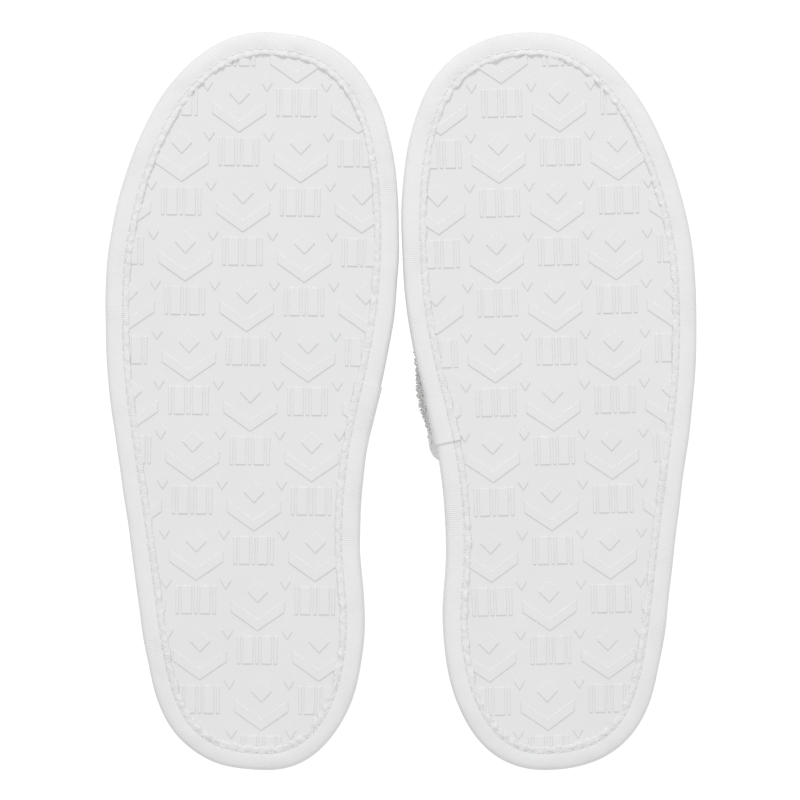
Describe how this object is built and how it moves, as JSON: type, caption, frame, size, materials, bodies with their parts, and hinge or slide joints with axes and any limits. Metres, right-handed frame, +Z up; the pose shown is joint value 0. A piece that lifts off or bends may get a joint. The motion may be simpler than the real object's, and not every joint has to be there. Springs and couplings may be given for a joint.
{
  "type": "spa slippers",
  "caption": "Pair of closed-toe terry slippers, open at the heel, with a moulded anti-slip sole and a taped, stitched edge.",
  "frame": {"origin": "on the floor under the middle of the pair's bounding box, soles down", "axes": "+Z up from the soles, -Y towards the toes, +X from the right-foot slipper to the left-foot slipper"},
  "size_m": [0.2322, 0.29, 0.0602],
  "materials": {
    "outsole": "satin moulded sheet",
    "board": "matt closed-cell foam",
    "foam": "open-cell foam",
    "terry": "looped cotton terry",
    "lining": "plain non-woven",
    "tape": "woven ribbed tape",
    "thread": "polyester thread"
  },
  "bodies": {
    "right_slipper": {"right_outsole": "outsole", "right_midsole": "board", "right_footbed_foam": "foam", "right_footbed_cover": "terry", "right_upper_cover": "terry", "right_upper_foam": "foam", "right_upper_lining": "lining", "right_throat_binding": "tape", "right_throat_stitching": "thread", "right_sole_binding": "tape", "right_sole_needle_thread": "thread", "right_sole_bobbin_thread": "thread"},
    "left_slipper": {"left_outsole": "outsole", "left_midsole": "board", "left_footbed_foam": "foam", "left_footbed_cover": "terry", "left_upper_cover": "terry", "left_upper_foam": "foam", "left_upper_lining": "lining", "left_throat_binding": "tape", "left_throat_stitching": "thread", "left_sole_binding": "tape", "left_sole_needle_thread": "thread", "left_sole_bobbin_thread": "thread"}
  },
  "joints": [
    {"name": "left_slipper_lift", "type": "slide", "parent": "right_slipper", "child": "left_slipper", "axis": [0, 0, 1], "range_m": [0, 0.12]}
  ]
}
